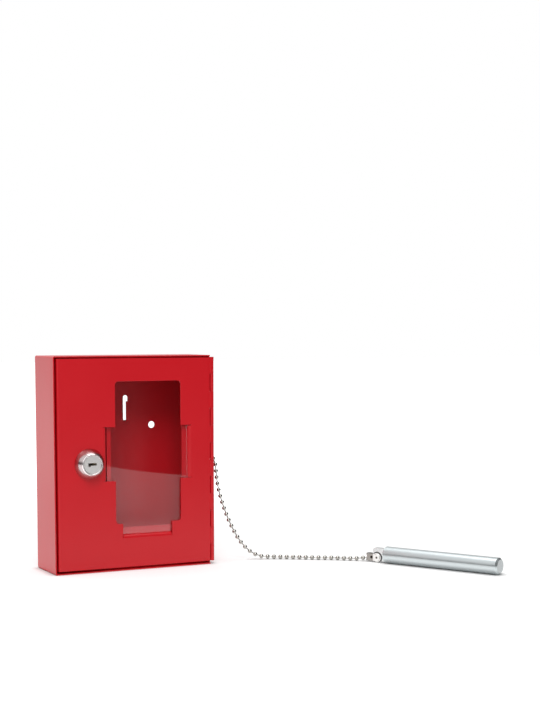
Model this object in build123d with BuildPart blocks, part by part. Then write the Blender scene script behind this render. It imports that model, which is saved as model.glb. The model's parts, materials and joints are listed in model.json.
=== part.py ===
from build123d import *
import os
from math import cos, radians, sin, tan

# Emergency key box: a folded sheet steel box with a glazed door, a cam lock, and a steel
# hammer on a bead chain. Lengths are in millimetres, angles in degrees. +Z is up and the door
# faces -Y. The origin is the middle of the underside of the box with its hinge barrel.

os.makedirs("parts", exist_ok=True)

# Box
overall_width = 120.0
box_height = 150.0
box_depth = 40.0
sheet = 0.8
tray_inside_radius = 0.5

# Continuous hinge, rolled from the sheets of the box and the door
knuckle_od = 3.0
knuckle_count = 12
knuckle_gap = 0.3
hinge_low = 2.2
hinge_top_gap = 0.4
hinge_slot = 0.7
hinge_groove_width = 0.7
hinge_groove_depth = 0.3
wall_cutback = 0.5
hinge_relief = 0.4
curl_sweep = 285.0
door_curl_sweep = 255.0
pin_clearance = 0.05

# Door leaf
door_gap_side = 1.6
door_gap_low = 1.6
door_gap_top = 0.9
door_flange = 9.1
fold_radius = 0.9

# Window in the door, with three folded tabs that hold the glass
window_left = -15.4
window_right = 33.7
window_low = 32.9
window_high = 132.3
window_corner = 2.5
window_edge_bevel = 0.2
side_tab_left = -22.0
side_tab_right = 39.5
side_tab_low = 63.2
side_tab_high = 100.8
bottom_tab_left = -10.2
bottom_tab_right = 26.9
bottom_tab_low = 25.2
tab_fold_radius = 2.0
tab_lip_radius = 0.8
tab_relief = 0.5
tab_root = 1.5
side_lip = 4.0
bottom_lip = 5.0

# Glass
glass_thickness = 2.0
glass_clearance = 0.3
glass_high = 138.0

# Key hook lanced from the back, wall holes and the chain's keyhole
hook_slot_x = 7.0
hook_slot_low = 102.3
hook_slot_height = 18.6
hook_slot_width = 3.6
hook_width = 2.4
hook_reach = 4.6
hook_height = 14.4
hook_fold_radius = 0.9
wall_hole_spacing = 56.6
wall_hole_radius = 2.5
wall_hole_z = 99.1
keyhole_y = -0.9
keyhole_z = 80.6
keyhole_slot = 1.8
keyhole_drop = 3.6
keyhole_entry = 4.2

# Cam keeper welded to the left wall
keeper_thickness = 1.0
keeper_height = 36.0
keeper_lip = 7.0
keeper_leg = 12.6
keeper_gap = 0.3

# Cam lock, measured along its axis from the door's front face: out is +, in is behind it
lock_x = -34.8
lock_z = 75.8
bezel_radius = 10.7
bezel_step = 0.8
bezel_out = 7.2
rim_radius = 7.5
rim_width = 0.9
rim_bevel = 0.3
lock_thread_radius = 8.0
lock_flat = 7.0
lock_body_in = 10.5
plug_head_radius = 6.1
plug_radius = 5.5
plug_recess = 0.6
plug_head = 2.0
plug_clearance = 0.08
door_hole_clearance = 0.1
tail_width = 6.0
tail_corner_radius = 3.9
tail_clearance = 0.05
keyway_width = 6.2
keyway_height = 1.7
keyway_rise = 0.35
keyway_ward = 1.9
keyway_ward_height = 0.8
keyway_in = 4.4
nut_across_flats = 19.0
nut_thickness = 3.0
nut_clearance = 0.05
nut_chamfer = 0.5

# Wafers inside the plug and their springs
wafer_count = 5
wafer_thickness = 1.0
wafer_pitch = 1.7
wafer_first_out = 3.9
wafer_height = 4.6
wafer_clearance = 0.05
wafer_inset = 0.12
wafer_window_width = 6.4
wafer_window_height = 2.8
wafer_lug_left = 1.2
wafer_lug_width = 1.8
wafer_lug_rise = 1.2
spring_length = 2.4
spring_radius = 0.45
spring_sides = 8

# Cam, washer and screw behind the plug
cam_gap = 0.2
cam_thickness = 1.5
cam_length = 20.0
cam_hub_radius = 7.0
cam_tip_width = 10.0
cam_tip_round = 2.0
washer_radius = 5.5
washer_thickness = 0.8
screw_head_radius = 3.7
screw_head_height = 2.4
screw_radius = 1.9
screw_length = 6.0
screw_clearance = 0.06
screw_slot_width = 0.9
screw_slot_depth = 0.9

# Bead chain, and the hand-chosen route of its line from the box to the hammer
bead_radius = 1.6
bead_sides = 8
bead_count = 39
link_radius = 0.4
link_sides = 6
arc_share = 0.45
chain_route = [
    (55.1, 0.0, 80.6),
    (58.8, -1.5, 80.5),
    (62.8, -3.0, 78.8),
    (65.9, -4.3, 75.4),
    (67.7, -5.0, 70.9),
    (68.0, -5.1, 63.3),
    (69.4, -5.6, 52.1),
    (73.0, -7.0, 38.7),
    (78.2, -9.1, 24.6),
    (85.4, -11.9, 11.0),
    (95.1, -15.6, 2.4),
    (106.8, -20.3, 1.7),
    (118.9, -27.4, 1.7),
    (131.4, -36.6, 1.7),
    (143.5, -43.8, 1.7),
    (154.1, -53.0, 1.7),
    (160.9, -57.6, 2.0),
    (165.2, -61.1, 3.3),
]

# Hammer, lying on the surface beside the box
hammer_shoulder_x = 171.6
hammer_shoulder_y = -73.5
hammer_heading = -62.6
hammer_radius = 6.0
hammer_length = 91.5
hammer_chamfer = 1.3
shoulder_chamfer = 0.5
tongue_thickness = 3.3
tongue_height = 9.0
tongue_top_round = 3.0
tongue_low_round = 2.0
rivet_from_shoulder = 6.65
rivet_z = 3.5
tongue_end_margin = 3.8

# Chain coupling and its rivet
strap_thickness = 0.5
strap_gap = 3.5
strap_height = 5.2
strap_reach = 9.6
strap_fold_radius = 1.3
strap_mouth = 2.8
ear_radius = 3.3
sight_hole_radius = 1.05
sight_hole_reach = 4.5
rivet_radius = 1.0
rivet_clearance = 0.08
rivet_seat_clearance = 0.02
rivet_head_radius = 2.7
rivet_head_height = 0.45
rivet_head_taper = 30.0
rivet_bore_radius = 0.75
rivet_bore_depth = 1.4

# Places that follow from the sizes
front_y = -box_depth / 2
back_y = box_depth / 2
box_left = -overall_width / 2
hinge_x = overall_width / 2 - knuckle_od / 2
hinge_y = front_y + knuckle_od / 2
right_wall_inner = hinge_x - knuckle_od / 2
box_right = right_wall_inner + sheet
box_width = box_right - box_left
box_mid_x = (box_left + box_right) / 2
hinge_high = box_height - sheet - hinge_top_gap
knuckle_pitch = (hinge_high - hinge_low) / knuckle_count
knuckle_length = knuckle_pitch - knuckle_gap
curl_radius = (knuckle_od - sheet) / 2
pin_radius = knuckle_od / 2 - sheet - pin_clearance
wall_front_y = hinge_y + knuckle_od / 2 + wall_cutback
leaf_left = box_left + sheet + door_gap_side
leaf_right = right_wall_inner - hinge_slot
leaf_low = sheet + door_gap_low
leaf_high = box_height - sheet - door_gap_top
leaf_mid_y = front_y + sheet / 2
leaf_back_y = front_y + sheet
glass_slot = glass_thickness + 2 * glass_clearance
lip_mid_y = leaf_back_y + glass_slot + sheet / 2
hook_slot_mid_z = hook_slot_low + hook_slot_height / 2


def knuckle_bottoms(first):
    """Lower ends of every second knuckle, counted down from the top of the barrel."""
    return [
        hinge_high - (index + 1) * knuckle_pitch + knuckle_gap / 2
        for index in range(first, knuckle_count, 2)
    ]


# Housing: a tray folded from one sheet, with its half of the hinge rolled on the right wall
with BuildPart() as housing:
    with BuildSketch(Plane.XZ.offset(-back_y)) as housing_outline:
        with Locations((box_mid_x, box_height / 2)):
            Rectangle(box_width, box_height)
        fillet(housing_outline.vertices(), sheet + tray_inside_radius)
    extrude(amount=box_depth)
    fillet(housing.faces().sort_by(Axis.Y)[-1].edges(), sheet + tray_inside_radius)
    offset(amount=-sheet, openings=housing.faces().sort_by(Axis.Y)[0])
    # The right wall is cut back behind the barrel, and the end walls are notched beside it
    with BuildSketch(Plane.XY):
        with Locations((right_wall_inner - hinge_relief, wall_front_y)):
            Rectangle(overall_width, box_depth, align=(Align.MIN, Align.MAX))
    extrude(amount=box_height, mode=Mode.SUBTRACT)
    for bottom in knuckle_bottoms(1):
        with BuildSketch(Plane.XY.offset(bottom)):
            with BuildLine():
                Line(
                    (right_wall_inner + sheet / 2, wall_front_y + sheet),
                    (right_wall_inner + sheet / 2, hinge_y),
                )
                CenterArc((hinge_x, hinge_y), curl_radius, 180, curl_sweep)
            trace(line_width=sheet)
        extrude(amount=knuckle_length)
    with BuildSketch(Plane.XZ.offset(-back_y)) as back_holes:
        with Locations((hook_slot_x, hook_slot_mid_z)):
            Rectangle(hook_slot_width, hook_slot_height)
        fillet(back_holes.vertices().group_by(Axis.Z)[-1], hook_slot_width / 2 - sheet / 4)
        with Locations((box_mid_x, wall_hole_z)):
            with GridLocations(wall_hole_spacing, 0, 2, 1):
                Circle(wall_hole_radius)
    extrude(amount=2 * sheet, mode=Mode.SUBTRACT)
    # The tongue cut from the slot is folded forward and up into the key hook
    with BuildSketch(Plane.YZ.offset(hook_slot_x)):
        with BuildLine():
            FilletPolyline(
                (back_y - sheet / 2, hook_slot_low - 2 * sheet),
                (back_y - sheet / 2, hook_slot_low + sheet / 2),
                (back_y - sheet / 2 - hook_reach, hook_slot_low + sheet / 2),
                (back_y - sheet / 2 - hook_reach, hook_slot_low + hook_height),
                radius=hook_fold_radius,
            )
        trace(line_width=sheet)
    extrude(amount=hook_width / 2, both=True)
    with BuildSketch(Plane.YZ.offset(box_right)):
        with Locations((keyhole_y, keyhole_z + keyhole_drop)):
            Circle(keyhole_entry / 2)
        with Locations((keyhole_y, keyhole_z + keyhole_drop / 2)):
            SlotCenterToCenter(keyhole_drop, keyhole_slot, rotation=90)
    extrude(amount=-2 * sheet, mode=Mode.SUBTRACT)
housing.part.label = "housing"
export_step(housing.part, "parts/housing.step")


# Hinge pin, from end to end of the barrel
with BuildPart() as hinge_pin:
    with BuildSketch(Plane.XY.offset(hinge_low + knuckle_gap / 2)):
        with Locations((hinge_x, hinge_y)):
            Circle(pin_radius)
    extrude(amount=hinge_high - hinge_low - knuckle_gap)
hinge_pin.part.label = "hinge_pin"
export_step(hinge_pin.part, "parts/hinge_pin.step")


# Cam keeper: an angle on the left wall whose lip stands behind the door's flange
keeper_lip_y = front_y + door_flange + keeper_gap + keeper_thickness / 2
with BuildPart() as cam_keeper:
    with BuildSketch(Plane.XY.offset(lock_z - keeper_height / 2)):
        with BuildLine():
            FilletPolyline(
                (box_left + sheet + keeper_lip, keeper_lip_y),
                (box_left + sheet + keeper_thickness / 2, keeper_lip_y),
                (box_left + sheet + keeper_thickness / 2, keeper_lip_y + keeper_leg),
                radius=fold_radius,
            )
        trace(line_width=keeper_thickness)
    extrude(amount=keeper_height)
cam_keeper.part.label = "cam_keeper"
export_step(cam_keeper.part, "parts/cam_keeper.step")


# Door panel: a leaf with a flange on the lock side and its half of the hinge on the other
with BuildPart() as door_panel:
    with BuildSketch(Plane.XY.offset(leaf_low)):
        with BuildLine():
            FilletPolyline(
                (leaf_right, leaf_mid_y),
                (leaf_left + sheet / 2, leaf_mid_y),
                (leaf_left + sheet / 2, front_y + door_flange),
                radius=fold_radius,
            )
        trace(line_width=sheet)
    extrude(amount=leaf_high - leaf_low)
    for bottom in knuckle_bottoms(0):
        with BuildSketch(Plane.XY.offset(bottom)):
            with BuildLine():
                Line((leaf_right - sheet, leaf_mid_y), (hinge_x, leaf_mid_y))
                CenterArc((hinge_x, hinge_y), curl_radius, 270, door_curl_sweep)
            trace(line_width=sheet)
        extrude(amount=knuckle_length)
    # A groove rolled beside the barrel, in line with the slots for the housing's knuckles
    with BuildSketch(Plane.XY.offset(leaf_low)):
        with Locations(((leaf_right + right_wall_inner) / 2, front_y)):
            Polygon(
                (-hinge_groove_width / 2, 0),
                (hinge_groove_width / 2, 0),
                (0, hinge_groove_depth),
                align=None,
            )
    extrude(amount=leaf_high - leaf_low, mode=Mode.SUBTRACT)
    # The window with its three bays, each as wide as the fold of the tab that came out of it
    with BuildSketch(Plane.XZ.offset(-leaf_back_y)) as window:
        with Locations(((window_left + window_right) / 2, (window_low + window_high) / 2)):
            RectangleRounded(window_right - window_left, window_high - window_low, window_corner)
        bay_left = side_tab_left - sheet / 2 - tab_fold_radius
        bay_right = side_tab_right + sheet / 2 + tab_fold_radius
        with Locations(((bay_left + bay_right) / 2, (side_tab_low + side_tab_high) / 2)):
            Rectangle(bay_right - bay_left, side_tab_high - side_tab_low)
        bay_low = bottom_tab_low - sheet / 2 - tab_fold_radius
        with Locations(((bottom_tab_left + bottom_tab_right) / 2, bay_low)):
            Rectangle(
                bottom_tab_right - bottom_tab_left,
                window_low + window_corner - bay_low,
                align=(Align.CENTER, Align.MIN),
            )
    extrude(amount=sheet, mode=Mode.SUBTRACT)
    chamfer(door_panel.edges(Select.LAST).group_by(Axis.Y)[0], window_edge_bevel)
    with BuildSketch(Plane.XZ.offset(-leaf_back_y)):
        with Locations((lock_x, lock_z)):
            Circle(lock_thread_radius + door_hole_clearance)
            Rectangle(
                2 * (lock_flat + door_hole_clearance),
                2 * bezel_radius,
                mode=Mode.INTERSECT,
            )
    extrude(amount=sheet, mode=Mode.SUBTRACT)
    # Side tabs: the sheet turns back beside the glass, then in behind it
    for edge_x, inward in ((side_tab_left, 1), (side_tab_right, -1)):
        with BuildSketch(Plane.XY.offset(side_tab_low + tab_relief)):
            with BuildLine():
                FilletPolyline(
                    (edge_x - inward * (sheet / 2 + tab_fold_radius + tab_root), leaf_mid_y),
                    (edge_x - inward * sheet / 2, leaf_mid_y),
                    (edge_x - inward * sheet / 2, lip_mid_y),
                    (edge_x + inward * side_lip, lip_mid_y),
                    radius=(tab_fold_radius, tab_lip_radius),
                )
            trace(line_width=sheet)
        extrude(amount=side_tab_high - side_tab_low - 2 * tab_relief)
    # Bottom tab: the same fold lying down, which carries the glass
    with BuildSketch(Plane.YZ.offset(bottom_tab_left + tab_relief)):
        with BuildLine():
            FilletPolyline(
                (leaf_mid_y, bottom_tab_low - sheet / 2 - tab_fold_radius - tab_root),
                (leaf_mid_y, bottom_tab_low - sheet / 2),
                (lip_mid_y, bottom_tab_low - sheet / 2),
                (lip_mid_y, bottom_tab_low + bottom_lip),
                radius=(tab_fold_radius, tab_lip_radius),
            )
        trace(line_width=sheet)
    extrude(amount=bottom_tab_right - bottom_tab_left - 2 * tab_relief)
door_panel.part.label = "door_panel"
export_step(door_panel.part, "parts/door_panel.step")


# Glass pane, standing in the tabs behind the leaf
glass_left = side_tab_left + glass_clearance
glass_right = side_tab_right - glass_clearance
glass_low = bottom_tab_low + glass_clearance
with BuildPart() as glass_pane:
    with BuildSketch(Plane.XZ.offset(-(leaf_back_y + glass_clearance + glass_thickness))):
        with Locations(((glass_left + glass_right) / 2, (glass_low + glass_high) / 2)):
            Rectangle(glass_right - glass_left, glass_high - glass_low)
    extrude(amount=glass_thickness)
glass_pane.part.label = "glass_pane"
export_step(glass_pane.part, "parts/glass_pane.step")


# The lock's pieces are drawn from the middle of its hole: Z of this plane points out
lock_face = Plane(origin=(lock_x, front_y, lock_z), x_dir=(1, 0, 0), z_dir=(0, -1, 0))
lock_section = Plane(origin=(lock_x, front_y, lock_z), x_dir=(1, 0, 0), z_dir=(0, 0, -1))
lock_axis = Axis((lock_x, front_y, lock_z), (0, -1, 0))
head_seat_out = bezel_out - plug_recess - plug_head
plug_end_in = lock_body_in + cam_gap
cam_back_in = plug_end_in + cam_thickness
tail_end_in = cam_back_in - cam_gap / 2
washer_back_in = cam_back_in + washer_thickness
plug_bore = plug_radius + plug_clearance
head_bore = plug_head_radius + plug_clearance

# Lock housing: a conical bezel in front, a threaded body with two flats behind
with BuildPart() as lock_housing:
    with BuildSketch(lock_section):
        with BuildLine():
            Polyline(
                (rim_radius - rim_bevel, bezel_out),
                (rim_radius - rim_width, bezel_out),
                (head_bore, bezel_out - plug_recess),
                (head_bore, head_seat_out - plug_clearance),
                (plug_bore, head_seat_out - plug_clearance),
                (plug_bore, -lock_body_in),
                (lock_thread_radius, -lock_body_in),
                (lock_thread_radius, 0),
                (bezel_radius, 0),
                (bezel_radius, bezel_step),
                (rim_radius, bezel_out - rim_bevel),
                close=True,
            )
        make_face()
    revolve(axis=lock_axis)
    with BuildSketch(lock_face):
        Rectangle(4 * bezel_radius, 4 * bezel_radius)
        Rectangle(2 * lock_flat, 4 * bezel_radius, mode=Mode.SUBTRACT)
    extrude(amount=-2 * lock_body_in, mode=Mode.SUBTRACT)
lock_housing.part.label = "lock_housing"
export_step(lock_housing.part, "parts/lock_housing.step")


# Wafer places along the plug, and one wafer's outline with its window and spring lug
wafer_outs = [wafer_first_out - index * wafer_pitch for index in range(wafer_count)]
spring_left = wafer_lug_left - spring_length
spring_rise = wafer_height / 2 + wafer_lug_rise / 2

# Lock plug: round head with the keyway, slotted barrel for the wafers, square tail
with BuildPart() as lock_plug:
    with BuildSketch(lock_face.offset(-plug_end_in)):
        Circle(plug_radius)
    extrude(amount=plug_end_in + head_seat_out)
    with BuildSketch(lock_face.offset(head_seat_out)):
        Circle(plug_head_radius)
    extrude(amount=plug_head)
    with BuildSketch(lock_face.offset(-plug_end_in)):
        Circle(tail_corner_radius)
        Rectangle(tail_width, tail_width, mode=Mode.INTERSECT)
    extrude(amount=-(tail_end_in - plug_end_in))
    with BuildSketch(lock_face.offset(head_seat_out + plug_head)):
        with Locations((0, keyway_rise)):
            Rectangle(keyway_width, keyway_height)
        with Locations((-keyway_width / 2, keyway_rise - keyway_height / 2)):
            Rectangle(keyway_ward, keyway_ward_height, align=(Align.MIN, Align.MAX))
    extrude(amount=-(head_seat_out + plug_head + keyway_in), mode=Mode.SUBTRACT)
    for out in wafer_outs:
        with BuildSketch(lock_face.offset(out + wafer_clearance)):
            Rectangle(3 * plug_radius, wafer_height + 2 * wafer_clearance)
            with Locations((spring_left - wafer_clearance, wafer_height / 2)):
                Rectangle(
                    spring_length + wafer_lug_width + 2 * wafer_clearance,
                    wafer_lug_rise + wafer_clearance,
                    align=(Align.MIN, Align.MIN),
                )
        extrude(amount=-(wafer_thickness + 2 * wafer_clearance), mode=Mode.SUBTRACT)
    with BuildSketch(lock_face.offset(-tail_end_in)):
        Circle(screw_radius + screw_clearance)
    extrude(amount=screw_length, mode=Mode.SUBTRACT)
lock_plug.part.label = "lock_plug"
export_step(lock_plug.part, "parts/lock_plug.step")


# Wafers and their springs, drawn in as they stand when the key is in
for number, out in enumerate(wafer_outs, start=1):
    with BuildPart() as wafer:
        with BuildSketch(lock_face.offset(out)):
            Circle(plug_radius - wafer_inset)
            Rectangle(3 * plug_radius, wafer_height, mode=Mode.INTERSECT)
            with Locations((wafer_lug_left, wafer_height / 2)):
                Rectangle(wafer_lug_width, wafer_lug_rise, align=(Align.MIN, Align.MIN))
            Rectangle(wafer_window_width, wafer_window_height, mode=Mode.SUBTRACT)
        extrude(amount=-wafer_thickness)
    wafer.part.label = f"wafer_{number}"
    export_step(wafer.part, f"parts/wafer_{number}.step")

# Springs: each lies across the top of its wafer's slot and pushes on the lug
for number, out in enumerate(wafer_outs, start=1):
    spring_end = Plane(
        origin=(lock_x + spring_left, front_y - out + wafer_thickness / 2, lock_z + spring_rise),
        x_dir=(0, 1, 0),
        z_dir=(1, 0, 0),
    )
    with BuildPart() as wafer_spring:
        with BuildSketch(spring_end):
            RegularPolygon(spring_radius, spring_sides)
        extrude(amount=spring_length - wafer_clearance)
    wafer_spring.part.label = f"wafer_spring_{number}"
    export_step(wafer_spring.part, f"parts/wafer_spring_{number}.step")


# Lock nut behind the leaf
with BuildPart() as lock_nut:
    with BuildSketch(lock_face.offset(-sheet)):
        RegularPolygon(nut_across_flats / 2, 6, major_radius=False, rotation=30)
        Circle(lock_thread_radius + nut_clearance, mode=Mode.SUBTRACT)
    extrude(amount=-nut_thickness)
    nut_rims = lock_nut.edges().filter_by(GeomType.LINE).group_by(Axis.Y)
    chamfer(nut_rims[-1], nut_chamfer)
lock_nut.part.label = "lock_nut"
export_step(lock_nut.part, "parts/lock_nut.step")


# Lock cam: hangs down while the door is free, and turns up behind the keeper
with BuildPart() as lock_cam:
    with BuildSketch(lock_face.offset(-plug_end_in)) as cam_outline:
        with BuildSketch(mode=Mode.PRIVATE) as cam_tip:
            with Locations((0, -cam_length)):
                Rectangle(cam_tip_width, cam_tip_round, align=(Align.CENTER, Align.MIN))
        Circle(cam_hub_radius)
        add(cam_tip.sketch)
        make_hull()
        fillet(cam_outline.vertices().group_by(Axis.Z)[0], cam_tip_round)
        Circle(tail_corner_radius + tail_clearance, mode=Mode.SUBTRACT)
    extrude(amount=-cam_thickness)
lock_cam.part.label = "lock_cam"
export_step(lock_cam.part, "parts/lock_cam.step")


# Cam washer
with BuildPart() as cam_washer:
    with BuildSketch(lock_face.offset(-cam_back_in)):
        Circle(washer_radius)
        Circle(screw_radius + screw_clearance, mode=Mode.SUBTRACT)
    extrude(amount=-washer_thickness)
cam_washer.part.label = "cam_washer"
export_step(cam_washer.part, "parts/cam_washer.step")


# Cam screw, into the end of the plug's tail
with BuildPart() as cam_screw:
    with BuildSketch(lock_face.offset(-washer_back_in)):
        Circle(screw_head_radius)
    extrude(amount=-screw_head_height)
    chamfer(cam_screw.edges().group_by(Axis.Y)[-1], screw_slot_width / 2)
    with BuildSketch(lock_face.offset(-washer_back_in)):
        Circle(screw_radius)
    extrude(amount=screw_length - screw_clearance)
    with BuildSketch(lock_face.offset(-washer_back_in - screw_head_height)):
        Rectangle(3 * screw_head_radius, screw_slot_width)
    extrude(amount=screw_slot_depth, mode=Mode.SUBTRACT)
cam_screw.part.label = "cam_screw"
export_step(cam_screw.part, "parts/cam_screw.step")


# Ball chain: beads on link wires, spaced along straight runs joined by tangent arcs
route_points = [Vector(*point) for point in chain_route]
route_runs = [end - start for start, end in zip(route_points, route_points[1:])]
route_turns = [before.get_angle(after) for before, after in zip(route_runs, route_runs[1:])]
route_radii = [
    arc_share * min(before.length, after.length) / tan(radians(turn / 2))
    for before, after, turn in zip(route_runs, route_runs[1:], route_turns)
]
with BuildLine() as chain_line:
    chain_path = FilletPolyline(*route_points, radius=route_radii)
bead_pitch = chain_path.length / (bead_count - 1)
bead_places = [
    Plane(
        origin=chain_path.position_at(index * bead_pitch, position_mode=PositionMode.LENGTH),
        z_dir=chain_path.tangent_at(index * bead_pitch, position_mode=PositionMode.LENGTH),
    )
    for index in range(bead_count)
]
link_places = [
    Plane(origin=(near.origin + far.origin) / 2, z_dir=far.origin - near.origin)
    for near, far in zip(bead_places, bead_places[1:])
]
bead_half = bead_radius * cos(radians(180 / bead_sides))
bead_side = 2 * bead_radius * sin(radians(180 / bead_sides))
with BuildPart() as bead:
    with BuildSketch(Plane.XY):
        RegularPolygon(bead_radius, bead_sides)
    extrude(amount=bead_half, both=True)
    bead_rims = bead.edges().group_by(Axis.Z)
    chamfer(bead_rims[0] + bead_rims[-1], bead_half - bead_side / 2)
with BuildPart() as ball_chain:
    with Locations(*bead_places):
        add(bead.part)
    with BuildSketch(*link_places):
        RegularPolygon(link_radius, link_sides)
    extrude(amount=(bead_pitch - bead_radius) / 2, both=True)
ball_chain.part.label = "ball_chain"
export_step(ball_chain.part, "parts/ball_chain.step")
print("chain length", round(chain_path.length, 1), "bead pitch", round(bead_pitch, 2))
print("chain bend radii", [round(radius, 1) for radius in route_radii])


# The hammer's frame: X runs along the bar from its shoulder, Z is up
along = Vector(cos(radians(hammer_heading)), sin(radians(hammer_heading)), 0)
across = Vector(along.Y, -along.X, 0)
shoulder = Vector(hammer_shoulder_x, hammer_shoulder_y, hammer_radius)
bar_section = Plane(origin=shoulder, x_dir=-across, z_dir=along)
tongue_side = Plane(origin=shoulder, x_dir=along, z_dir=across)
rivet_centre = shoulder - along * rivet_from_shoulder + Vector(0, 0, rivet_z - hammer_radius)
rivet_side = Plane(origin=rivet_centre, x_dir=along, z_dir=across)
strap_flat = Plane(origin=rivet_centre, x_dir=along, z_dir=(0, 0, 1))

# Hammer: a round steel bar with a flat tongue for the rivet
with BuildPart() as hammer:
    with BuildSketch(bar_section):
        Circle(hammer_radius)
    extrude(amount=hammer_length)
    bar_rims = hammer.edges().filter_by(GeomType.CIRCLE).sort_by(Axis(shoulder, along))
    chamfer(bar_rims[-1], hammer_chamfer)
    chamfer(bar_rims[0], shoulder_chamfer)
    with BuildSketch(tongue_side) as tongue:
        with Locations((shoulder_chamfer, 0)):
            Rectangle(
                shoulder_chamfer + rivet_from_shoulder + tongue_end_margin,
                tongue_height,
                align=(Align.MAX, Align.CENTER),
            )
        tongue_ends = tongue.vertices().group_by(Axis(shoulder, along))[0].sort_by(Axis.Z)
        fillet(tongue_ends[0], tongue_low_round)
        fillet(tongue_ends[-1], tongue_top_round)
    extrude(amount=tongue_thickness / 2, both=True)
    with BuildSketch(rivet_side):
        Circle(rivet_radius + rivet_clearance)
    extrude(amount=hammer_radius, both=True, mode=Mode.SUBTRACT)
hammer.part.label = "hammer"
export_step(hammer.part, "parts/hammer.step")


# Chain coupling: a strap folded round the last bead, with an ear on each side of the tongue
strap_mid = (strap_gap + strap_thickness) / 2
with BuildPart() as chain_coupling:
    with BuildSketch(strap_flat):
        with BuildLine():
            FilletPolyline(
                (ear_radius, strap_mid),
                (-strap_reach + strap_thickness / 2, strap_mid),
                (-strap_reach + strap_thickness / 2, -strap_mid),
                (ear_radius, -strap_mid),
                radius=strap_fold_radius,
            )
        trace(line_width=strap_thickness)
    extrude(amount=ear_radius, both=True)
    with BuildSketch(rivet_side) as strap_cut:
        Rectangle(4 * strap_reach, 4 * strap_height)
        with Locations((-strap_reach / 2, 0)):
            Rectangle(strap_reach, strap_height, mode=Mode.SUBTRACT)
        Circle(ear_radius, mode=Mode.SUBTRACT)
        Circle(rivet_radius + rivet_seat_clearance)
        with Locations((-strap_reach, 0)):
            Rectangle(2 * (strap_thickness + strap_fold_radius / 2), strap_mouth)
    extrude(amount=2 * strap_mid, both=True, mode=Mode.SUBTRACT)
    # A sight hole in one wall, between the tongue and the bead
    with BuildSketch(rivet_side):
        with Locations((-sight_hole_reach, 0)):
            Circle(sight_hole_radius)
    extrude(amount=2 * strap_mid, mode=Mode.SUBTRACT)
chain_coupling.part.label = "chain_coupling"
export_step(chain_coupling.part, "parts/chain_coupling.step")


# Coupling rivet: a tubular shank with a rolled head outside each ear
ear_face = strap_gap / 2 + strap_thickness
other_side = Plane(origin=rivet_centre, x_dir=along, z_dir=-across)
with BuildPart() as coupling_rivet:
    with BuildSketch(rivet_side):
        Circle(rivet_radius)
    extrude(amount=ear_face, both=True)
    for side in (rivet_side, other_side):
        with BuildSketch(side.offset(ear_face)):
            Circle(rivet_head_radius)
        extrude(amount=rivet_head_height, taper=rivet_head_taper)
        with BuildSketch(side.offset(ear_face + rivet_head_height)):
            Circle(rivet_bore_radius)
        extrude(amount=-rivet_bore_depth, mode=Mode.SUBTRACT)
coupling_rivet.part.label = "coupling_rivet"
export_step(coupling_rivet.part, "parts/coupling_rivet.step")
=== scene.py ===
import json
from math import pi, radians

import bmesh
import bpy
from mathutils import Matrix, Vector


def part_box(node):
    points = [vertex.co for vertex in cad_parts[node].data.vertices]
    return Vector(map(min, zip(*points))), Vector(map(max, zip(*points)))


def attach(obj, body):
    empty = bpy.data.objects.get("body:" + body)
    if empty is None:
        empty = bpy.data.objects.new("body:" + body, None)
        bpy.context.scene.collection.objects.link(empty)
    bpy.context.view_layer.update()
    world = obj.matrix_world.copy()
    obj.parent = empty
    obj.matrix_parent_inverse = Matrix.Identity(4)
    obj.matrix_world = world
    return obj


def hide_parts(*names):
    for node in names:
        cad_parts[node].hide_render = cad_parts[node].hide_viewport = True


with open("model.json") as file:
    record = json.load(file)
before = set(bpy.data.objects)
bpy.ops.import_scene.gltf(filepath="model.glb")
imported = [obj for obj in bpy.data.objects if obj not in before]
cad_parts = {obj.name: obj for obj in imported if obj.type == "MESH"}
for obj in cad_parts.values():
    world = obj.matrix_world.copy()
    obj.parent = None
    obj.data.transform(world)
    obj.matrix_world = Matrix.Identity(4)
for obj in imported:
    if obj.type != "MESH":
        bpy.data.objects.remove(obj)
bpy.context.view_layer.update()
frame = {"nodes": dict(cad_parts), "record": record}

# Looks of the emergency key box. Lengths are in metres and angles in radians unless a name
# says otherwise. +Z is up, the door faces -Y, and the box stands on z = 0.

nodes = frame["nodes"]
scene = bpy.context.scene
MM = 0.001

# Camera, with its angles in degrees and its lens in millimetres
camera_place = (-0.3836, -0.9846, 0.1693)
camera_pitch = 84.61
camera_yaw = -26.84
camera_lens = 74.31
camera_shift_up = 0.1499

# Bead chain, on the CAD chain's route, with its last bead a little further from the hammer
chain_route = [
    (0.0551, 0.0000, 0.0806),
    (0.0588, -0.0015, 0.0805),
    (0.0628, -0.0030, 0.0788),
    (0.0659, -0.0043, 0.0754),
    (0.0677, -0.0050, 0.0709),
    (0.0680, -0.0051, 0.0633),
    (0.0694, -0.0056, 0.0521),
    (0.0730, -0.0070, 0.0387),
    (0.0782, -0.0091, 0.0246),
    (0.0854, -0.0119, 0.0110),
    (0.0951, -0.0156, 0.0024),
    (0.1068, -0.0203, 0.0017),
    (0.1189, -0.0274, 0.0017),
    (0.1314, -0.0366, 0.0017),
    (0.1435, -0.0438, 0.0017),
    (0.1541, -0.0530, 0.0017),
    (0.1609, -0.0576, 0.0020),
    (0.1649, -0.0609, 0.0032),
]

# Beads, with the radius and the depth of the mouths that are drawn in round the links
bead_count = 39
bead_diameter = 3.2 * MM
bead_mouth = 0.62 * MM
bead_lip = 0.12 * MM
link_diameter = 0.8 * MM

# Lock bezel, with radii from the lock's axis and heights in front of the door
bezel_segments = 96
bezel_radius = 10.7 * MM
bezel_foot_height = 0.8 * MM
bezel_out = 7.2 * MM
bezel_rim_radius = 7.5 * MM
bezel_rim_bevel = 0.3 * MM
bezel_lip = 0.75 * MM
bezel_swell = 0.38 * MM
bezel_swell_steps = 14
bezel_skin = 0.03 * MM

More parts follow.
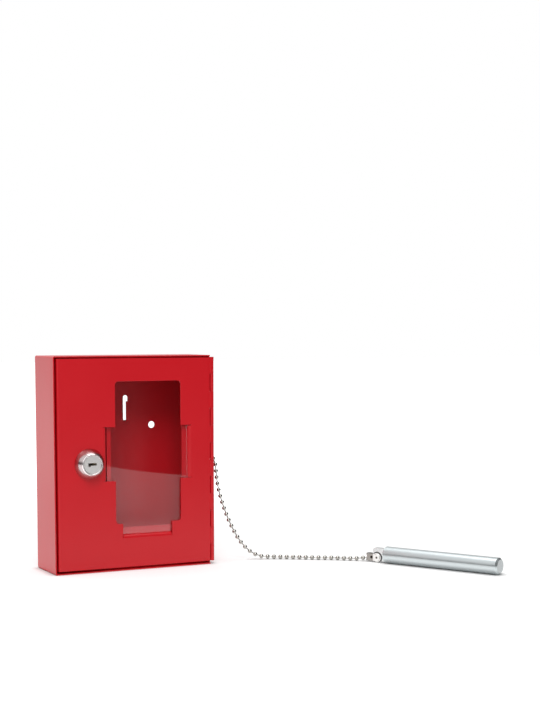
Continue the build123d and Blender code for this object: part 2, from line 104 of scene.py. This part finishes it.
# Paint between the hinge's knuckles
knuckle_count = 12
hinge_low = 2.2 * MM
hinge_high = 148.8 * MM
hinge_axis = (58.5 * MM, -18.5 * MM)
paint_radius = 1.35 * MM
paint_thickness = 0.22 * MM

# Faces that meet at more than this angle keep a crisp edge
crease_angle = radians(35.0)

# Material slot of each piece that the scene adds
added_slots = {}


def place_camera():
    """The photograph's viewpoint: a long lens, a little above the box and to its left."""
    lens = bpy.data.cameras.new("camera")
    lens.sensor_width = 36.0
    lens.lens = camera_lens
    lens.shift_y = camera_shift_up
    camera = bpy.data.objects.new("camera", lens)
    camera.location = camera_place
    camera.rotation_euler = (radians(camera_pitch), 0.0, radians(camera_yaw))
    scene.collection.objects.link(camera)
    scene.camera = camera


def new_piece(name, mesh, body, slot):
    """Makes a bmesh into an object that rides on a body and takes a material slot's finish."""
    data = bpy.data.meshes.new(name)
    bmesh.ops.recalc_face_normals(mesh, faces=mesh.faces)
    mesh.to_mesh(data)
    mesh.free()
    data.shade_smooth()
    data.set_sharp_from_angle(angle=crease_angle)
    piece = bpy.data.objects.new(name, data)
    scene.collection.objects.link(piece)
    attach(piece, body)
    added_slots[name] = slot
    return piece


def smooth_line(points):
    """Points along the smooth line that the route's points pull into shape."""
    curve = bpy.data.curves.new("route", "CURVE")
    curve.dimensions = "3D"
    curve.resolution_u = 24
    spline = curve.splines.new("NURBS")
    spline.points.add(len(points) - 1)
    for control, place in zip(spline.points, points):
        control.co = (*place, 1.0)
    spline.order_u = 3
    spline.use_endpoint_u = True
    holder = bpy.data.objects.new("route", curve)
    scene.collection.objects.link(holder)
    line = bpy.data.meshes.new_from_object(holder)
    places = [vertex.co.copy() for vertex in line.vertices]
    bpy.data.objects.remove(holder)
    bpy.data.meshes.remove(line)
    return places


def places_along(line, count):
    """As many places as asked for, evenly spaced from end to end of a line."""
    runs = [(after - before).length for before, after in zip(line, line[1:])]
    step = sum(runs) / (count - 1)
    places = [line[0]]
    gone = 0.0
    for before, after, run in zip(line, line[1:], runs):
        while len(places) < count - 1 and gone + run >= step * len(places):
            places.append(before.lerp(after, (step * len(places) - gone) / run))
        gone += run
    return places + [line[-1]]


def turned_to(place, direction):
    """The matrix that stands a shape's Z axis along a direction, at a place."""
    return Matrix.Translation(place) @ direction.to_track_quat("Z", "Y").to_matrix().to_4x4()


def add_bead(mesh, place, direction):
    """A hollow ball rolled from strip, with a drawn-in mouth where each link enters."""
    ball = bmesh.ops.create_uvsphere(
        mesh, u_segments=20, v_segments=12, radius=bead_diameter / 2
    )["verts"]
    for vertex in ball:
        out = Vector((vertex.co.x, vertex.co.y)).length
        if out < bead_mouth:
            vertex.co.z *= 1.0 - bead_lip / abs(vertex.co.z)
    bmesh.ops.transform(mesh, matrix=turned_to(place, direction), verts=ball)


def add_rod(mesh, matrix, radius, depth, segments):
    """A round rod or disc along a matrix's Z axis."""
    return bmesh.ops.create_cone(
        mesh,
        cap_ends=True,
        segments=segments,
        radius1=radius,
        radius2=radius,
        depth=depth,
        matrix=matrix,
    )["verts"]


def add_link(mesh, start, end):
    """The wire that shows between two beads."""
    length = (end - start).length - bead_diameter / 2
    wire = add_rod(mesh, Matrix.Identity(4), link_diameter / 2, length, segments=12)
    bmesh.ops.transform(mesh, matrix=turned_to((start + end) / 2, end - start), verts=wire)


def make_chain():
    """The bead chain, from the bead inside the wall to the one inside the coupling."""
    line = smooth_line(chain_route)
    beads = places_along(line, bead_count)
    mesh = bmesh.new()
    for number, place in enumerate(beads):
        before = beads[max(number - 1, 0)]
        after = beads[min(number + 1, bead_count - 1)]
        add_bead(mesh, place, after - before)
    for start, end in zip(beads, beads[1:]):
        add_link(mesh, start, end)
    chain = new_piece("bead_chain", mesh, "housing", "chain_nickel")
    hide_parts("ball_chain")


def spin_profile(profile, centre):
    """Spins a closed profile of radii and heights in front of the door round the lock's axis."""
    mesh = bmesh.new()
    corners = [mesh.verts.new((radius, -out, 0.0)) for radius, out in profile]
    sides = [mesh.edges.new(pair) for pair in zip(corners, corners[1:] + corners[:1])]
    bmesh.ops.spin(
        mesh,
        geom=corners + sides,
        cent=(0.0, 0.0, 0.0),
        axis=(0.0, 1.0, 0.0),
        dvec=(0.0, 0.0, 0.0),
        angle=2 * pi,
        steps=bezel_segments,
        use_merge=True,
    )
    bmesh.ops.translate(mesh, vec=centre, verts=mesh.verts)
    return mesh


def make_bezel():
    """The lock's bezel: its cone swells a little over the straight one of the CAD solid."""
    low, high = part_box("lock_housing")
    centre = ((low.x + high.x) / 2, low.y + bezel_out, (low.z + high.z) / 2)
    foot = Vector((bezel_radius + bezel_skin, bezel_foot_height))
    crown = Vector((bezel_rim_radius + bezel_skin, bezel_out - bezel_rim_bevel))
    slope = (crown - foot).normalized()
    outward = Vector((slope.y, -slope.x))
    shares = [number / bezel_swell_steps for number in range(bezel_swell_steps + 1)]
    swell = [
        foot.lerp(crown, share) + outward * 4.0 * bezel_swell * share * (1.0 - share)
        for share in shares
    ]
    profile = [
        (foot.x, 0.0),
        *swell,
        (bezel_rim_radius - bezel_rim_bevel, bezel_out + bezel_skin),
        (bezel_rim_radius - bezel_lip, bezel_out + bezel_skin),
        (bezel_rim_radius - bezel_lip, bezel_out - bezel_rim_bevel),
        (bezel_radius - bezel_lip, 0.0),
    ]
    new_piece("bezel", spin_profile(profile, centre), "door", "chrome_plate")


def make_hinge_fill():
    """Paint that has run into the joints between the hinge's knuckles."""
    mesh = bmesh.new()
    pitch = (hinge_high - hinge_low) / knuckle_count
    for number in range(1, knuckle_count):
        place = Matrix.Translation(Vector((*hinge_axis, hinge_low + number * pitch)))
        add_rod(mesh, place, paint_radius, paint_thickness, segments=32)
    new_piece("hinge_fill", mesh, "housing", "powder_coat")


place_camera()
make_chain()
make_bezel()
make_hinge_fill()


# Shader node groups for the finishes' textures


def link(tree, source, target):
    tree.links.new(source, target)


def new_group(name, inputs, outputs):
    """A node group with its input and output nodes."""
    tree = bpy.data.node_groups.new(name, "ShaderNodeTree")
    for label, kind, value in inputs:
        made = tree.interface.new_socket(name=label, in_out="INPUT", socket_type=kind)
        if value is not None:
            made.default_value = value
    for label in outputs:
        tree.interface.new_socket(name=label, in_out="OUTPUT", socket_type="NodeSocketFloat")
    return tree, tree.nodes.new("NodeGroupInput"), tree.nodes.new("NodeGroupOutput")


def math_node(tree, operation, first, second=0.0):
    """A math node whose two inputs are sockets or numbers."""
    node = tree.nodes.new("ShaderNodeMath")
    node.operation = operation
    for place, value in zip(node.inputs, (first, second)):
        if isinstance(value, bpy.types.NodeSocket):
            link(tree, value, place)
        else:
            place.default_value = value
    return node.outputs[0]


def axes_of(tree, vector):
    """The X, Y and Z of a vector."""
    split = tree.nodes.new("ShaderNodeSeparateXYZ")
    link(tree, vector, split.inputs[0])
    return split.outputs


def distance_from_axis(tree, vector, first, second):
    """How far a vector lies from the origin in the plane of two of its axes."""
    axes = axes_of(tree, vector)
    flat = tree.nodes.new("ShaderNodeCombineXYZ")
    link(tree, axes[first], flat.inputs[first])
    link(tree, axes[second], flat.inputs[second])
    reach = tree.nodes.new("ShaderNodeVectorMath")
    reach.operation = "LENGTH"
    link(tree, flat.outputs[0], reach.inputs[0])
    return reach.outputs["Value"]


def build_powder_texture():
    """Orange peel of a baked powder coat: soft dimples and a slow cloud of tone."""
    tree, given, result = new_group(
        "powder_texture",
        [
            ("Dimple Size", "NodeSocketFloat", 900.0),
            ("Cloud Size", "NodeSocketFloat", 22.0),
        ],
        ["Height", "Cloud"],
    )
    place = tree.nodes.new("ShaderNodeTexCoord")
    for size, output in (("Dimple Size", "Height"), ("Cloud Size", "Cloud")):
        noise = tree.nodes.new("ShaderNodeTexNoise")
        link(tree, place.outputs["Object"], noise.inputs["Vector"])
        link(tree, given.outputs[size], noise.inputs["Scale"])
        link(tree, noise.outputs["Fac"], result.inputs[output])
    return tree


def build_turned_rings():
    """Fine rings that a lathe leaves round an axis, and the light scatter between them."""
    tree, given, result = new_group(
        "turned_rings",
        [
            ("Vector", "NodeSocketVector", None),
            ("Rings", "NodeSocketFloat", 4000.0),
        ],
        ["Height", "Scatter"],
    )
    place = given.outputs["Vector"]
    rings = given.outputs["Rings"]
    steps = math_node(tree, "MULTIPLY", distance_from_axis(tree, place, "X", "Y"), rings)
    along = math_node(tree, "MULTIPLY", axes_of(tree, place)["Z"], rings)
    noise = tree.nodes.new("ShaderNodeTexNoise")
    noise.noise_dimensions = "1D"
    link(tree, math_node(tree, "ADD", steps, along), noise.inputs["W"])
    noise.inputs["Scale"].default_value = 1.0
    link(tree, noise.outputs["Fac"], result.inputs["Height"])
    link(tree, noise.outputs["Fac"], result.inputs["Scatter"])
    return tree


def build_drawn_lines():
    """Streaks that drawing or wiping leaves along one direction of the given vector."""
    tree, given, result = new_group(
        "drawn_lines",
        [
            ("Vector", "NodeSocketVector", None),
            ("Fine", "NodeSocketFloat", 3000.0),
            ("Stretch", "NodeSocketFloat", 0.02),
        ],
        ["Height", "Streak"],
    )
    squeeze = tree.nodes.new("ShaderNodeCombineXYZ")
    squeeze.inputs["Y"].default_value = 1.0
    squeeze.inputs["Z"].default_value = 1.0
    link(tree, given.outputs["Stretch"], squeeze.inputs["X"])
    scaled = tree.nodes.new("ShaderNodeVectorMath")
    scaled.operation = "MULTIPLY"
    link(tree, given.outputs["Vector"], scaled.inputs[0])
    link(tree, squeeze.outputs[0], scaled.inputs[1])
    noise = tree.nodes.new("ShaderNodeTexNoise")
    link(tree, scaled.outputs[0], noise.inputs["Vector"])
    link(tree, given.outputs["Fine"], noise.inputs["Scale"])
    noise.inputs["Detail"].default_value = 3.0
    link(tree, noise.outputs["Fac"], result.inputs["Height"])
    link(tree, noise.outputs["Fac"], result.inputs["Streak"])
    return tree


powder_texture = build_powder_texture()
turned_rings = build_turned_rings()
drawn_lines = build_drawn_lines()


# Materials

# Depth of the powder texture's dimples, in the coat and in the plated metals
dimple_depth = 0.01 * MM

# Places on the hammer and its coupling, from the rivet: starts and ends of the smooth steps
# along the bar, and radii round the rivet's axis
hammer_heading = radians(-62.6)
rivet_place = (168.54 * MM, -67.60 * MM, 3.5 * MM)
# The tongue's step carries a painted highlight
tongue_highlight_end = (6.2 * MM, 6.6 * MM)
bar_end = (97.9 * MM, 98.1 * MM)
ear_start = (-3.6 * MM, -2.8 * MM)
# Painted shade in a ring round the rivet, for the shadow gap behind the coupling's ear
shade_ring_radius = 3.7 * MM
shade_ring_width = 1.1 * MM
# Width of the painted shade in the rivet's bore
rivet_bore_shade_width = 1.7 * MM

# How far behind the lock's front the painted highlight on its rim begins to fade, and where it
# has faded
rim_highlight_end = (0.25 * MM, 0.55 * MM)


def new_finish(name, **settings):
    """A material with its Principled shader set from named socket values."""
    material = bpy.data.materials.new(name)
    material.use_nodes = True
    tree = material.node_tree
    shader = tree.nodes["Principled BSDF"]
    for label, value in settings.items():
        shader.inputs[label.replace("_", " ")].default_value = value
    return material, tree, shader


def place_group(tree, group, **values):
    """Puts a shared node group into a material with its own values."""
    node = tree.nodes.new("ShaderNodeGroup")
    node.node_tree = group
    for label, value in values.items():
        node.inputs[label.replace("_", " ")].default_value = value
    return node


def bump(tree, shader, height, depth, strength):
    """Feeds a height to the shader's normal."""
    node = tree.nodes.new("ShaderNodeBump")
    node.inputs["Strength"].default_value = strength
    node.inputs["Distance"].default_value = depth
    link(tree, height, node.inputs["Height"])
    link(tree, node.outputs["Normal"], shader.inputs["Normal"])


def spread(tree, value, low, high):
    """Maps a 0 to 1 value to a range, for roughness and the like."""
    node = tree.nodes.new("ShaderNodeMapRange")
    node.inputs["To Min"].default_value = low
    node.inputs["To Max"].default_value = high
    link(tree, value, node.inputs["Value"])
    return node.outputs["Result"]


def ramp(tree, value, reach, low, high):
    """A smooth step from a low value to a high one over a reach of the given value."""
    start, end = reach
    node = tree.nodes.new("ShaderNodeMapRange")
    node.interpolation_type = "SMOOTHSTEP"
    node.inputs["From Min"].default_value = start
    node.inputs["From Max"].default_value = end
    node.inputs["To Min"].default_value = low
    node.inputs["To Max"].default_value = high
    link(tree, value, node.inputs["Value"])
    return node.outputs["Result"]


def mix(tree, share, first, second):
    """Mixes two colours, of which the first may be a socket, by a 0 to 1 value."""
    node = tree.nodes.new("ShaderNodeMix")
    node.data_type = "RGBA"
    link(tree, share, node.inputs["Factor"])
    if isinstance(first, bpy.types.NodeSocket):
        link(tree, first, node.inputs["A"])
    else:
        node.inputs["A"].default_value = (*first, 1.0)
    node.inputs["B"].default_value = (*second, 1.0)
    return node.outputs["Result"]


def centred(tree, place, tilt=(0.0, 0.0, 0.0)):
    """Object coordinates measured from a place and turned by some angles."""
    coordinates = tree.nodes.new("ShaderNodeTexCoord")
    mapping = tree.nodes.new("ShaderNodeMapping")
    mapping.vector_type = "TEXTURE"
    mapping.inputs["Location"].default_value = place
    mapping.inputs["Rotation"].default_value = tilt
    link(tree, coordinates.outputs["Object"], mapping.inputs["Vector"])
    return mapping.outputs["Vector"]


def ring_round(tree, vector, radius, width):
    """1 on a ring round the rivet's axis and 0 off it, with soft edges. Radius 0 gives a disc."""
    reach = distance_from_axis(tree, vector, "X", "Z")
    off = math_node(tree, "ABSOLUTE", math_node(tree, "SUBTRACT", reach, radius))
    return ramp(tree, off, (0.3 * width, 0.7 * width), 1.0, 0.0)


def make_powder_coat():
    """Baked red powder coat. Under a roughness of about 0.275 the denoiser draws lines on it."""
    material, tree, shader = new_finish(
        "powder_coat",
        Specular_IOR_Level=0.42,
        Coat_Weight=0.05,
        Coat_Roughness=0.15,
        Coat_IOR=1.5,
    )
    texture = place_group(tree, powder_texture, Dimple_Size=900.0, Cloud_Size=22.0)
    cloud = texture.outputs["Cloud"]
    tone = mix(tree, cloud, (0.65, 0.004, 0.012), (0.70, 0.006, 0.015))
    link(tree, tone, shader.inputs["Base Color"])
    link(tree, spread(tree, cloud, 0.28, 0.35), shader.inputs["Roughness"])
    bump(tree, shader, texture.outputs["Height"], dimple_depth, 0.3)
    return material


def make_glass():
    """Clear float glass."""
    return new_finish(
        "float_glass",
        Base_Color=(0.90, 0.965, 0.98, 1.0),
        Roughness=0.0,
        IOR=1.52,
        Transmission_Weight=1.0,
    )[0]


def make_turned_metal(name, colour, roughness, rings, depth, rim_highlight_colour=None, metallic=1.0):
    """Plated metal turned round the lock's axis; a rim colour paints a highlight on its foremost
    rim.
    """
    material, tree, shader = new_finish(name, Base_Color=(*colour, 1.0), Metallic=metallic)
    low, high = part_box("lock_plug")
    centre = ((low.x + high.x) / 2, low.y, (low.z + high.z) / 2)
    texture = place_group(tree, turned_rings, Rings=rings)
    link(tree, centred(tree, centre, (pi / 2, 0.0, 0.0)), texture.inputs["Vector"])
    rough = spread(tree, texture.outputs["Scatter"], roughness * 0.7, roughness * 1.4)
    link(tree, rough, shader.inputs["Roughness"])
    bump(tree, shader, texture.outputs["Height"], depth, 0.4)
    # The rim tone is a painted highlight
    if rim_highlight_colour:
        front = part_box("lock_housing")[0].y
        behind_front = axes_of(tree, centred(tree, (0.0, front, 0.0)))["Y"]
        rim_highlight = ramp(tree, behind_front, rim_highlight_end, 1.0, 0.0)
        link(tree, mix(tree, rim_highlight, colour, rim_highlight_colour), shader.inputs["Base Color"])
    return material


def make_plated_metal(name, colour, roughness):
    """Plated metal with soft, uneven gloss."""
    material, tree, shader = new_finish(name, Base_Color=(*colour, 1.0), Metallic=1.0)
    texture = place_group(tree, powder_texture, Dimple_Size=1200.0, Cloud_Size=90.0)
    rough = spread(tree, texture.outputs["Cloud"], roughness * 0.6, roughness * 1.5)
    link(tree, rough, shader.inputs["Roughness"])
    bump(tree, shader, texture.outputs["Height"], dimple_depth, 0.25)
    return material


def make_hammer_steel():
    """Bright zinc over drawn bar with faint streaks, a painted highlight on the tongue and
    painted shade round the rivet.
    """
    material, tree, shader = new_finish("hammer_steel", Metallic=1.0)
    from_rivet = centred(tree, rivet_place, (0.0, 0.0, hammer_heading))
    along = axes_of(tree, from_rivet)["X"]
    texture = place_group(tree, drawn_lines, Fine=1500.0, Stretch=0.006)
    link(tree, from_rivet, texture.inputs["Vector"])
    streak = texture.outputs["Streak"]
    tongue_highlight = ramp(tree, along, tongue_highlight_end, 1.0, 0.0)
    sawn_end = ramp(tree, along, bar_end, 0.0, 1.0)
    shade_ring = ring_round(tree, from_rivet, shade_ring_radius, shade_ring_width)
    tone = mix(tree, streak, (0.54, 0.585, 0.595), (0.61, 0.66, 0.67))
    # Painted highlight: the tongue made lighter
    tone = mix(tree, tongue_highlight, tone, (0.71, 0.73, 0.73))
    tone = mix(tree, sawn_end, tone, (0.43, 0.455, 0.46))
    # Painted shade: a dark ring round the rivet
    tone = mix(tree, shade_ring, tone, (0.10, 0.10, 0.10))
    link(tree, tone, shader.inputs["Base Color"])
    link(tree, spread(tree, streak, 0.28, 0.38), shader.inputs["Roughness"])
    bump(tree, shader, texture.outputs["Height"], 0.004 * MM, 0.3)
    return material


def make_coupling_metal():
    """Nickel, bright on the ear and the rivet and darker on the strap behind them, with painted
    shade in the rivet's bore.
    """
    material, tree, shader = new_finish("coupling_nickel", Metallic=1.0)
    from_rivet = centred(tree, rivet_place, (0.0, 0.0, hammer_heading))
    ear = ramp(tree, axes_of(tree, from_rivet)["X"], ear_start, 0.0, 1.0)
    # Painted shade: the rivet's bore kept dark
    bore_shade = ring_round(tree, from_rivet, 0.0, rivet_bore_shade_width)
    bright = math_node(tree, "MULTIPLY", ear, math_node(tree, "SUBTRACT", 1.0, bore_shade))
    tone = mix(tree, bright, (0.32, 0.30, 0.28), (0.80, 0.79, 0.77))
    link(tree, tone, shader.inputs["Base Color"])
    texture = place_group(tree, powder_texture, Dimple_Size=1500.0, Cloud_Size=300.0)
    link(tree, spread(tree, texture.outputs["Cloud"], 0.15, 0.35), shader.inputs["Roughness"])
    bump(tree, shader, texture.outputs["Height"], dimple_depth, 0.3)
    return material


finishes = {
    "powder_coat": make_powder_coat(),
    "glass": make_glass(),
    "chrome_plate": make_turned_metal(
        "chrome_plate",
        # Pinkish tone: painted reflection of the red door in the chrome
        (0.58, 0.48, 0.48),
        roughness=0.18,
        rings=2500.0,
        depth=0.004 * MM,
        # Painted highlight on the rim, pinkish as a painted reflection of the door
        rim_highlight_colour=(0.98, 0.92, 0.92),
    ),
    "plug_nickel": make_turned_metal(
        "plug_nickel",
        (0.95, 0.94, 0.92),
        roughness=0.34,
        rings=1200.0,
        depth=0.03 * MM,
        metallic=0.8,
    ),
    "zinc_steel": make_plated_metal("zinc_steel", (0.66, 0.68, 0.69), 0.32),
    "steel": make_plated_metal("wire_steel", (0.52, 0.52, 0.53), 0.35),
    "brass": make_plated_metal("stamped_brass", (0.74, 0.56, 0.28), 0.30),
    # Darker nickel: painted shade for the shaded box side that the beads mirror
    "chain_nickel": make_plated_metal("chain_nickel", (0.46, 0.45, 0.42), 0.16),
    "coupling_nickel": make_coupling_metal(),
    "hammer_steel": make_hammer_steel(),
}

for name, slot in added_slots.items():
    scene.objects[name].data.materials.append(finishes[slot])
for subpart in frame["record"]["subparts"]:
    node = nodes[subpart["node"]]
    node.data.materials.clear()
    node.data.materials.append(finishes[subpart["material_slot"]])

# Light reaches what stands behind the pane, which casts no shadow
nodes["glass_pane"].visible_shadow = False
nodes["glass_pane"].visible_diffuse = False


# Floor, world and lamps

# The photographed table ends in front of the box, which the glass and the door mirror. Its edge
# starts here and bends to the right.
table_edge_start = (0.2593, -0.7553)
table_edge_lean = 0.055
table_edge_bend = 1.62
table_edge_blur = 0.008
past_table_tone = 0.04

# The floor, to which white is added away from the shadow, and for mirrored rays where it
# lies beside and behind the box
floor_half = 6.0
floor_tone = 0.76
floor_lift = 0.41
lift_middle = (0.08, -0.04, 0.0)
lift_reach = (0.16, 0.55)
mirrored_lift = 0.6
mirrored_near = (-0.30, -0.16)
mirrored_far = (0.25, 1.0)
contact_reach = 0.006
contact_depth = 3.0

# Mirrored rays see the room dim behind the camera, at the horizon and on the right
room_middle = (0.30, -0.95, -0.05)
room_reach = (0.40, 0.80)
room_level = 0.13
horizon_reach = (0.14, 0.42)
horizon_level = 0.12
behind_reach = (0.35, 0.75)
right_reach = (0.1, 0.8)
right_level = 0.25

# Soft light from all round, weaker on the right
soft_reach = (-0.3, 0.7)
soft_level = 0.55
soft_right_share = 0.25


def light_path(tree):
    """The Light Path's outputs, and a value that is 1 for rays mirrored or let through."""
    rays = tree.nodes.new("ShaderNodeLightPath").outputs
    return rays, math_node(tree, "MAXIMUM", rays["Is Glossy Ray"], rays["Is Transmission Ray"])


def past_table_edge(tree, axes):
    """1 on the floor past the table's edge and 0 on the table."""
    edge_x, edge_y = table_edge_start
    along = math_node(tree, "MAXIMUM", math_node(tree, "SUBTRACT", axes["Y"], edge_y), 0.0)
    bend = math_node(tree, "MULTIPLY", along, table_edge_bend)
    slope = math_node(tree, "ADD", bend, table_edge_lean)
    edge = math_node(tree, "ADD", math_node(tree, "MULTIPLY", along, slope), edge_x)
    inside = math_node(tree, "SUBTRACT", edge, axes["X"])
    return ramp(tree, inside, (-table_edge_blur, table_edge_blur), 1.0, 0.0)


def make_floor():
    """A wide pale floor, white to the camera, that keeps the object's shadow."""
    mesh = bmesh.new()
    bmesh.ops.create_grid(mesh, x_segments=1, y_segments=1, size=floor_half)
    data = bpy.data.meshes.new("floor")
    mesh.to_mesh(data)
    mesh.free()
    floor = bpy.data.objects.new("floor", data)
    scene.collection.objects.link(floor)
    material, tree, shader = new_finish("pale_floor", Roughness=0.9, Specular_IOR_Level=0.0)
    data.materials.append(material)
    place = tree.nodes.new("ShaderNodeTexCoord").outputs["Object"]
    axes = axes_of(tree, place)
    rays, mirrored = light_path(tree)

    dimmed = math_node(tree, "MULTIPLY", mirrored, past_table_edge(tree, axes))
    tone = mix(tree, dimmed, (floor_tone,) * 3, (past_table_tone,) * 3)
    link(tree, tone, shader.inputs["Base Color"])

    middle = tree.nodes.new("ShaderNodeVectorMath")
    middle.operation = "DISTANCE"
    middle.inputs[1].default_value = lift_middle
    link(tree, place, middle.inputs[0])
    lift = ramp(tree, middle.outputs["Value"], lift_reach, floor_lift, 1.0)
    direct = math_node(tree, "MULTIPLY", rays["Is Camera Ray"], lift)
    near_lift = ramp(tree, axes["Y"], mirrored_near, 0.0, mirrored_lift)
    far_lift = ramp(tree, axes["Y"], mirrored_far, 0.0, 1.0 - mirrored_lift)
    behind_box = math_node(tree, "ADD", near_lift, far_lift)
    seen = math_node(tree, "MAXIMUM", direct, math_node(tree, "MULTIPLY", mirrored, behind_box))

    contact = tree.nodes.new("ShaderNodeAmbientOcclusion")
    contact.samples = 8
    contact.inputs["Distance"].default_value = contact_reach
    open_floor = math_node(tree, "POWER", contact.outputs["AO"], contact_depth)
    shown = math_node(tree, "MULTIPLY", seen, open_floor)
    shader.inputs["Emission Color"].default_value = (1.0, 1.0, 1.0, 1.0)
    link(tree, shown, shader.inputs["Emission Strength"])


def make_world():
    """White to the camera, a plain soft light, and a room for mirrored rays."""
    world = bpy.data.worlds.new("studio")
    scene.world = world
    world.use_nodes = True
    tree = world.node_tree
    background = tree.nodes["Background"]
    background.inputs["Color"].default_value = (1.0, 1.0, 1.0, 1.0)
    direction = tree.nodes.new("ShaderNodeTexCoord").outputs["Generated"]
    axes = axes_of(tree, direction)
    rays, mirrored = light_path(tree)

    facing = tree.nodes.new("ShaderNodeVectorMath")
    facing.operation = "DOT_PRODUCT"
    facing.inputs[1].default_value = room_middle
    link(tree, direction, facing.inputs[0])
    room = ramp(tree, facing.outputs["Value"], room_reach, 1.0, room_level)
    low_band = ramp(tree, axes["Z"], horizon_reach, horizon_level, 1.0)
    horizon = math_node(tree, "MAXIMUM", low_band, ramp(tree, axes["Y"], behind_reach, 0.0, 1.0))
    right = ramp(tree, axes["X"], right_reach, 1.0, right_level)
    around = math_node(tree, "MULTIPLY", math_node(tree, "MULTIPLY", room, horizon), right)

    soft = ramp(tree, axes["X"], soft_reach, soft_level, soft_level * soft_right_share)
    mirror = math_node(tree, "MULTIPLY", mirrored, around)
    plain = math_node(tree, "MULTIPLY", rays["Is Diffuse Ray"], soft)
    strength = math_node(tree, "ADD", mirror, plain)
    strength = math_node(tree, "ADD", strength, rays["Is Camera Ray"])
    link(tree, strength, background.inputs["Strength"])


def make_lamp(name, place, target, size, power):
    """A soft rectangular lamp at a place, turned to a target."""
    lamp = bpy.data.lights.new(name, "AREA")
    lamp.shape = "RECTANGLE"
    lamp.size, lamp.size_y = size
    lamp.energy = power
    holder = bpy.data.objects.new(name, lamp)
    holder.location = place
    facing = Vector(target) - Vector(place)
    holder.rotation_euler = facing.to_track_quat("-Z", "Y").to_euler()
    scene.collection.objects.link(holder)


make_floor()
make_world()
make_lamp("key_lamp", (-0.6, -1.5, 1.6), (0.0, 0.0, 0.06), (1.0, 1.0), 20.0)
make_lamp("top_lamp", (0.2, 0.1, 1.9), (0.05, 0.0, 0.0), (1.6, 1.2), 12.0)
scene.view_settings.view_transform = "Standard"
